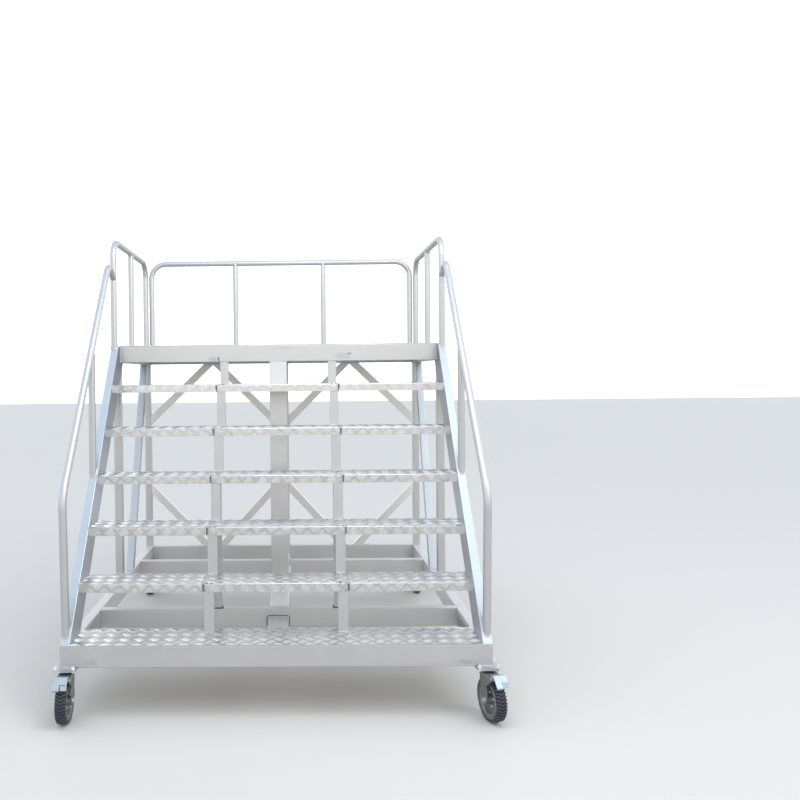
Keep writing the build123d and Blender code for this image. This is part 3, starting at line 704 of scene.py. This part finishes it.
def addRace(caster):
    # the two pressed rings of the ball race, with a groove between them
    radius, low, high = raceShape["radius"], raceShape["low"], raceShape["high"]
    middle, grooveHalf, rimHalf = (low + high) / 2, raceShape["grooveHalf"], raceShape["rimHalf"]
    profile = [(low, radius - raceShape["bore"]), (high, radius - raceShape["bore"]),
               (high, radius + raceShape["upper"]), (middle + rimHalf, radius + raceShape["upperRim"]),
               (middle + grooveHalf, radius + raceShape["groove"]),
               (middle - grooveHalf, radius + raceShape["groove"]),
               (middle - rimHalf, radius + raceShape["lower"]), (low, radius + raceShape["lower"])]
    x, y, z = joints[f"swivel_{caster}"]["pos_m"]
    verts, faces = [], []
    addRing(verts, faces, profile, raceShape["segments"], Vector((x, y, 0)), "Z")
    addPiece(f"ballRace_{caster}", verts, faces, oilySteel, "frame")


for caster in casterNames:
    addTyre(caster)
    addRimTrim(caster)
    addPlateBolts(caster)
    addRace(caster)
print("casters dressed")


# weld beads where the members meet

beadLook = {"radius": 3.0 * mm, "ripple": 0.16, "uneven": 0.12, "step": 2.8 * mm, "wander": 0.5 * mm,
            "end": 0.45, "sides": 6, "proud": 0.6 * mm}
weldRandom = random.Random(7)


def addBead(verts, faces, points, radius=beadLook["radius"], closed=False):
    # a rippled bead along the straight runs between the points
    corners = [Vector(point) for point in points]
    if closed:
        corners.append(corners[0])
    line = []
    for a, b in zip(corners, corners[1:]):
        count = max(1, round((b - a).length / beadLook["step"]))
        line.extend((a.lerp(b, k / count), (b - a).normalized()) for k in range(count))
    if not closed:
        line.append((corners[-1], (corners[-1] - corners[-2]).normalized()))
    sides, start = beadLook["sides"], len(verts)
    for k, (at, ahead) in enumerate(line):
        helper = Vector((0, 0, 1)) if abs(ahead.z) < 0.8 else Vector((0, 1, 0))
        u = ahead.cross(helper).normalized()
        v = ahead.cross(u)
        size = radius * (1 + beadLook["ripple"] * (1 if k % 2 else -1)
                         + weldRandom.uniform(-beadLook["uneven"], beadLook["uneven"]))
        if not closed and k in (0, len(line) - 1):
            size *= beadLook["end"]
        at = at + (u * weldRandom.uniform(-1, 1) + v * weldRandom.uniform(-1, 1)) * beadLook["wander"]
        for n in range(sides):
            angle = 2 * math.pi * n / sides
            verts.append(at + (u * math.cos(angle) + v * math.sin(angle)) * size)
    last = len(line) if closed else len(line) - 1
    for k in range(last):
        a, b = start + k * sides, start + (k + 1) % len(line) * sides
        faces.extend([(a + n, a + (n + 1) % sides, b + (n + 1) % sides, b + n) for n in range(sides)])
    if not closed:
        faces.append(tuple(start + n for n in reversed(range(sides))))
        faces.append(tuple(start + last * sides + n for n in range(sides)))


def rectangle(x, y, z):
    return [(x[0], y[0], z), (x[1], y[0], z), (x[1], y[1], z), (x[0], y[1], z)]


def circle(x, y, radius, heightAt, count=24):
    turns = [2 * math.pi * k / count for k in range(count)]
    ring = [(x + radius * math.cos(turn), y + radius * math.sin(turn)) for turn in turns]
    return [(px, py, heightAt(py)) for px, py in ring]


beamLow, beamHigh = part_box("front_beam")
rearLow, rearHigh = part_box("rear_beam")
headLow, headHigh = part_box("platform_front_beam")
tailLow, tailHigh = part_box("platform_rear_beam")
crossLow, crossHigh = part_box("cross_beams")
middleLow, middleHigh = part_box("middle_struts")
columnLow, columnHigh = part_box("columns")
guardLow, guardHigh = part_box("side_guards")
backLow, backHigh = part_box("rear_guard")
balusterLow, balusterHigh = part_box("rear_balusters")
sidePostLow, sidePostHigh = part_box("side_balusters")
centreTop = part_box("centre_beam")[1].z
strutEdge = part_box("tread_struts")[1].x
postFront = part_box("handrail_posts")[0].y
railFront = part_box("handrails")[0].y
memberSizes = {"beam": 50 * mm, "stringerDeep": 150 * mm, "strutWide": 50 * mm, "strutDeep": 25 * mm,
               "rail": 19 * mm, "notch": 120 * mm, "notchHeight": 62 * mm, "notchRound": 10 * mm}
beam, rail, proud = memberSizes["beam"], memberSizes["rail"], beadLook["proud"]
slope = treadRise / treadGoing
stringerRun = memberSizes["stringerDeep"] * math.hypot(1, slope) / slope
innerX = treadHigh.x
outerX = beamHigh.x
headSpan = (headLow.y, headHigh.y)
rearSpan = (rearLow.y, rearHigh.y)


def stringerSpan(side):
    return sorted((side * innerX, side * outerX))


def strutSpan(side):
    at, half = side * (strutEdge - memberSizes["strutWide"] / 2), memberSizes["strutWide"] / 2
    return at - half, at + half


def railFoot(y):
    # height of the stringers' sloping face, and behind it of the platform's beam
    return min(beamHigh.z + slope * (y - beamLow.y), headHigh.z) + proud


baseWelds = {"endGap": 4 * mm, "thin": 2.2 * mm, "padRun": 50 * mm, "padPast": 25 * mm,
             "padSide": 75 * mm, "pad": 3.6 * mm}


def weldBase():
    verts, faces = [], []
    low, high = beamLow.z + baseWelds["endGap"], beamHigh.z
    above, padAt = beamHigh.z + proud, beamLow.z + proud
    for side in (-1, 1):
        inside, outside = side * (outerX - beam), side * outerX
        for y in (beamLow.y + beam, rearLow.y):  # side beams on the end beams
            addBead(verts, faces, [(inside, y, low), (inside, y, high)])
            addBead(verts, faces, [(inside, y, above), (outside, y, above)], baseWelds["thin"])
            addBead(verts, faces, [(outside, y, high - baseWelds["endGap"]), (outside, y, low)],
                    baseWelds["thin"])
        for y in (crossLow.y, crossLow.y + beam, crossHigh.y - beam, crossHigh.y):  # cross beams
            addBead(verts, faces, [(inside, y, low), (inside, y, high)])
        padX = side * (outerX - beam / 2)
        ends = sorted((padX - side * baseWelds["padRun"], padX + side * baseWelds["padPast"]))
        for y, inward in ((beamLow.y, 1), (rearHigh.y, -1)):  # pads under the corners
            addBead(verts, faces, [(x, y, padAt) for x in ends], baseWelds["pad"])
            back = y + inward * baseWelds["padSide"]
            addBead(verts, faces, [(outside, y, padAt), (outside, back, padAt)], baseWelds["pad"])
    addPiece("welds_base", verts, faces, weldMetal, "frame", True)


stairWelds = {"foot": 1 * mm, "lipFrom": 6 * mm, "topRuns": ((4 * mm, 60 * mm), (120 * mm, 170 * mm)),
              "top": 2.4 * mm, "strutBack": 3 * mm, "strut": 2.2 * mm}


def weldStair():
    verts, faces = [], []
    count = treadSizes["count"]
    for side in (-1, 1):
        foot = (beamLow.y + stairWelds["foot"], beamLow.y + stringerRun)
        addBead(verts, faces, rectangle(stringerSpan(side), foot, beamHigh.z + proud), closed=True)
        edge = side * innerX
        for step in range(count):  # treads on the stringers
            y, z = treadNose(step)
            front, above = y + proud, z + proud
            addBead(verts, faces, [(edge, front, z - stairWelds["lipFrom"]),
                                   (edge, front, z - treadSizes["lip"])])
            for start, end in stairWelds["topRuns"]:
                addBead(verts, faces, [(edge, y + start, above), (edge, y + end, above)], stairWelds["top"])
        tops = [footHigh.z] + [treadNose(step)[1] for step in range(count)]
        for step, z in enumerate(tops):  # struts on the treads
            front = headLow.y if step == count else treadNose(step)[0] + stairWelds["strutBack"]
            spanY = (front, front + memberSizes["strutDeep"])
            addBead(verts, faces, rectangle(strutSpan(side), spanY, z + proud), stairWelds["strut"], True)
    addPiece("welds_stair", verts, faces, weldMetal, "frame", True)


postWelds = {"post": 2.8 * mm, "side": 2.6 * mm}


def weldUprights():
    verts, faces = [], []
    column = (columnLow.x, columnHigh.x)
    for y, ends in ((headSpan, (centreTop, headLow.z)), (rearSpan, (beamHigh.z, tailLow.z))):
        for z in ends:
            addBead(verts, faces, rectangle(column, y, z), postWelds["post"], True)
    for side in (-1, 1):
        for y, ends in ((rearSpan, (beamHigh.z, tailLow.z)), (headSpan, (beamHigh.z,))):
            for z in ends:
                addBead(verts, faces, rectangle(stringerSpan(side), y, z), postWelds["post"], True)
        for low, high in ((headLow, headHigh), (tailLow, tailHigh)):  # platform beams on the sides
            for y in (low.y, high.y):
                addBead(verts, faces, [(side * innerX, y, low.z), (side * innerX, y, high.z)],
                        postWelds["side"])
    addPiece("welds_uprights", verts, faces, weldMetal, "frame", True)


railWelds = {"clear": 0.5 * mm, "topGap": 4 * mm, "foot": 3.2 * mm, "post": 2.8 * mm, "cope": 2.0 * mm}


def weldRails():
    verts, faces = [], []
    ring = rail + railWelds["clear"]
    topAt = guardHigh.z - 2 * rail + railWelds["topGap"]
    platform = headHigh.z + proud
    sideMiddle = (sidePostLow.y + sidePostHigh.y) / 2
    for side in (-1, 1):
        x = side * (guardHigh.x - rail)
        for y in (railFront + rail, postFront + rail, guardLow.y + rail):  # feet on the stringers
            addBead(verts, faces, circle(x, y, ring, railFoot), railWelds["foot"], True)
        for y in (sideMiddle, guardHigh.y - rail):
            addBead(verts, faces, circle(x, y, ring, lambda at: platform), railWelds["post"], True)
        addBead(verts, faces, circle(x, sideMiddle, ring, lambda at: topAt), railWelds["cope"], True)
    rearMiddle = backLow.y + rail
    shortPosts = (balusterLow.x + rail, balusterHigh.x - rail)
    for x in (backLow.x + rail, *shortPosts, backHigh.x - rail):
        addBead(verts, faces, circle(x, rearMiddle, ring, lambda at: platform), railWelds["post"], True)
    for x in shortPosts:  # coped tops of the short uprights
        addBead(verts, faces, circle(x, rearMiddle, ring, lambda at: topAt), railWelds["cope"], True)
    addPiece("welds_rails", verts, faces, weldMetal, "frame", True)


sootWelds = {"archFoot": 6 * mm, "archSteps": 4, "seam": 2.6 * mm, "seamFront": 0.8 * mm,
             "seamRun": (3 * mm, 39 * mm), "mark": 2.0 * mm, "markFront": 0.4 * mm, "markLean": 1 * mm,
             "dash": 1.8 * mm, "dashStarts": (6 * mm, 32 * mm), "dashRun": 14 * mm, "dashFront": 2 * mm,
             "dashRise": 1.2 * mm, "strutFoot": 5.0 * mm}
# small marks beside each seam, in mm: away from the seam, then top and bottom below the tread
seamMarks = [(8, 6, 12), (7, 22, 27), (11, 31, 39), (4, 38, 40)]


def notchArch():
    # up one side of the centre beam's notch, over its rounded corners and down again
    half, top = memberSizes["notch"] / 2, crossLow.z + memberSizes["notchHeight"]
    bend = memberSizes["notchRound"]
    arch = [(-half, crossLow.z + sootWelds["archFoot"])]
    for turn in range(sootWelds["archSteps"] + 1):
        angle = math.pi - turn * math.pi / (2 * sootWelds["archSteps"])
        arch.append((-half + bend + bend * math.cos(angle), top - bend + bend * math.sin(angle)))
    arch += [(-x, z) for x, z in reversed(arch)]
    return [(x, crossLow.y, z) for x, z in arch]


def weldDark():
    # sooty joints: around the notch, in the treads' seams and at the struts' feet
    verts, faces = [], []
    addBead(verts, faces, notchArch(), sootWelds["seam"])
    for side in (-1, 1):
        seam = side * (treadSizes["seam"] + treadSizes["gap"] / 2)
        spanX = strutSpan(side)
        for step in range(treadSizes["count"]):
            y, z = treadNose(step)
            front = y + sootWelds["seamFront"]
            addBead(verts, faces, [(seam, front, z - drop) for drop in sootWelds["seamRun"]],
                    sootWelds["seam"])
            front = y + sootWelds["markFront"]
            for along, high, low in seamMarks:
                x = seam - side * along * mm
                addBead(verts, faces, [(x, front, z - high * mm),
                                       (x - sootWelds["markLean"], front, z - low * mm)],
                        sootWelds["mark"])
            front, above = y + sootWelds["dashFront"], z + sootWelds["dashRise"]
            for start in sootWelds["dashStarts"]:  # the front runs of the struts' feet
                x = spanX[0] + start
                addBead(verts, faces, [(x, front, above), (x + sootWelds["dashRun"], front, above)],
                        sootWelds["dash"])
        foot = rectangle(spanX, (middleLow.y, middleHigh.y), beamHigh.z + proud)
        addBead(verts, faces, foot, sootWelds["strutFoot"], True)
    addPiece("welds_sooty", verts, faces, sootMetal, "frame", True)


weldBase()
weldStair()
weldUprights()
weldRails()
weldDark()
print("weld beads made")


# camera, light and floor

cameraLook = {"place": (0.1047, -4.6033, 1.5942), "turn": -0.78, "dip": 0.90, "roll": -0.56, "lens": 35.085,
              "sensor": 36, "shift": (0.14375, -0.0176)}


def addCamera():
    turn, dip, roll = (math.radians(cameraLook[key]) for key in ("turn", "dip", "roll"))
    ahead = Vector((math.sin(turn) * math.cos(dip), math.cos(turn) * math.cos(dip), -math.sin(dip)))
    level = Vector((math.cos(turn), -math.sin(turn), 0))
    upright = level.cross(ahead)
    right = level * math.cos(roll) + upright * math.sin(roll)
    up = upright * math.cos(roll) - level * math.sin(roll)
    data = bpy.data.cameras.new("camera")
    data.sensor_width, data.lens = cameraLook["sensor"], cameraLook["lens"]
    data.shift_x, data.shift_y = cameraLook["shift"]
    camera = bpy.data.objects.new("camera", data)
    turned = Matrix((right, up, -ahead)).transposed().to_4x4()
    camera.matrix_world = Matrix.Translation(cameraLook["place"]) @ turned
    bpy.context.scene.collection.objects.link(camera)
    bpy.context.scene.camera = camera

floorLook = {"colour": (0.55, 0.52, 0.485), "roughness": 0.8, "reach": 40.0}


def addFloor():
    material, tree, shader = newMaterial("studioFloor", floorLook["colour"], 0.0, floorLook["roughness"])
    mesh = bpy.data.meshes.new("studioFloor")
    reach = floorLook["reach"]
    mesh.from_pydata([(-reach, -reach, 0), (reach, -reach, 0), (reach, reach, 0), (-reach, reach, 0)], [],
                     [(0, 1, 2, 3)])
    mesh.materials.append(material)
    floor = bpy.data.objects.new("studioFloor", mesh)
    bpy.context.scene.collection.objects.link(floor)


lampLook = [
    {"name": "rightLight", "place": (5.0, -4.5, 5.5), "aim": (0.6, 0, 1.0), "size": (3, 3), "power": 120.0},
    {"name": "upperLight", "place": (0.3, -1.7, 3.7), "aim": (0.0, 0.3, 1.6), "size": (1.6, 1.2),
     "power": 38.0},
    {"name": "slopeLight", "place": (1.95, -1.7, 5.3), "aim": (0.98, -0.3, 1.3), "size": (1.4, 1.6),
     "power": 12.0},
]
# a pale sky with a dim patch behind the stair: each span runs from no patch to all of it
airLook = {"horizon": (1.0, 0.968, 0.935), "zenith": (0.52, 0.63, 0.765), "falloff": 0.8,
           "dim": (0.22, 0.24, 0.25), "dimDepth": (-0.1, 0.75), "dimHeight": (0.0, 0.22),
           "dimSide": (0.42, 0.10), "backdrop": (0.9, 0.9, 0.9), "strength": 1.85}


def addLights():
    for look in lampLook:
        data = bpy.data.lights.new(look["name"], "AREA")
        data.shape = "RECTANGLE"
        data.size, data.size_y = look["size"]
        data.energy = look["power"]
        lamp = bpy.data.objects.new(look["name"], data)
        lamp.location = look["place"]
        aim = Vector(look["aim"]) - Vector(look["place"])
        lamp.rotation_euler = aim.to_track_quat("-Z", "Y").to_euler()
        bpy.context.scene.collection.objects.link(lamp)
    world = bpy.data.worlds.new("studioAir")
    bpy.context.scene.world = world
    world.use_nodes = True
    tree = world.node_tree
    link = tree.links.new
    place = addNode(tree, "ShaderNodeTexCoord")
    parts = addNode(tree, "ShaderNodeSeparateXYZ")
    link(place.outputs["Generated"], parts.inputs[0])
    height = mathNode(tree, "MAXIMUM", parts.outputs["Z"], 0.0)
    height = mathNode(tree, "POWER", height, airLook["falloff"], True)
    sky = mixColour(tree, height, (*airLook["horizon"], 1), (*airLook["zenith"], 1))
    shade = mathNode(tree, "SUBTRACT", 1.0, height)
    sideways = mathNode(tree, "ABSOLUTE", parts.outputs["X"])
    for value, span in ((parts.outputs["Y"], "dimDepth"), (parts.outputs["Z"], "dimHeight"),
                        (sideways, "dimSide")):
        low, high = airLook[span]
        part = addNode(tree, "ShaderNodeMapRange", {"From Min": low, "From Max": high},
                       interpolation_type="SMOOTHSTEP")
        link(value, part.inputs["Value"])
        shade = mathNode(tree, "MULTIPLY", shade, part.outputs["Result"])
    sky = mixColour(tree, shade, sky, (*airLook["dim"], 1))
    path = addNode(tree, "ShaderNodeLightPath")
    back = tree.nodes["Background"]
    seen = mixColour(tree, path.outputs["Is Camera Ray"], sky, (*airLook["backdrop"], 1))
    link(seen, back.inputs["Color"])
    back.inputs["Strength"].default_value = airLook["strength"]


addCamera()
addFloor()
addLights()
bpy.context.scene.view_settings.view_transform = "Standard"
print("camera, floor and lights set")

bpy.context.view_layer.update()
